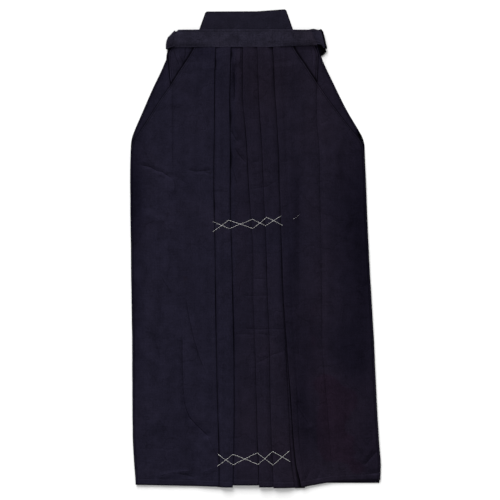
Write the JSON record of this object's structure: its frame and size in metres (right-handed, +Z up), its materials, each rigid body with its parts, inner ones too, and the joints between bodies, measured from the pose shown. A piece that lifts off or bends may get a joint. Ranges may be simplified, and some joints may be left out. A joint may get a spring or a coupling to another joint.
{
  "type": "hakama trousers",
  "caption": "Pleated hakama trousers of dark indigo cotton, laid flat with the front up: a stiff back board, a front band, side slits, and ties folded behind.",
  "frame": {"origin": "centre of the bounding box's bottom face, on the surface that the garment lies on", "axes": "+Y from the hem towards the waist, +X towards the picture's right, +Z up through the cloth's layers"},
  "size_m": [0.5398, 1.0316, 0.0168],
  "materials": {
    "panel_cotton": "matt plain-woven indigo cotton",
    "band_cotton": "matt plain-woven indigo cotton in several layers",
    "basting_thread": "soft white cotton thread",
    "sewing_thread": "dark cotton thread"
  },
  "bodies": {
    "root": {"front_left": "panel_cotton", "front_right": "panel_cotton", "side_tuck_left": "panel_cotton", "side_tuck_right": "panel_cotton", "back_left": "panel_cotton", "back_right": "panel_cotton", "gusset_left": "panel_cotton", "gusset_right": "panel_cotton", "back_board": "band_cotton", "front_band": "band_cotton", "front_strap_left": "band_cotton", "front_strap_right": "band_cotton", "back_strap_left": "band_cotton", "back_strap_right": "band_cotton"}
  },
  "joints": []
}
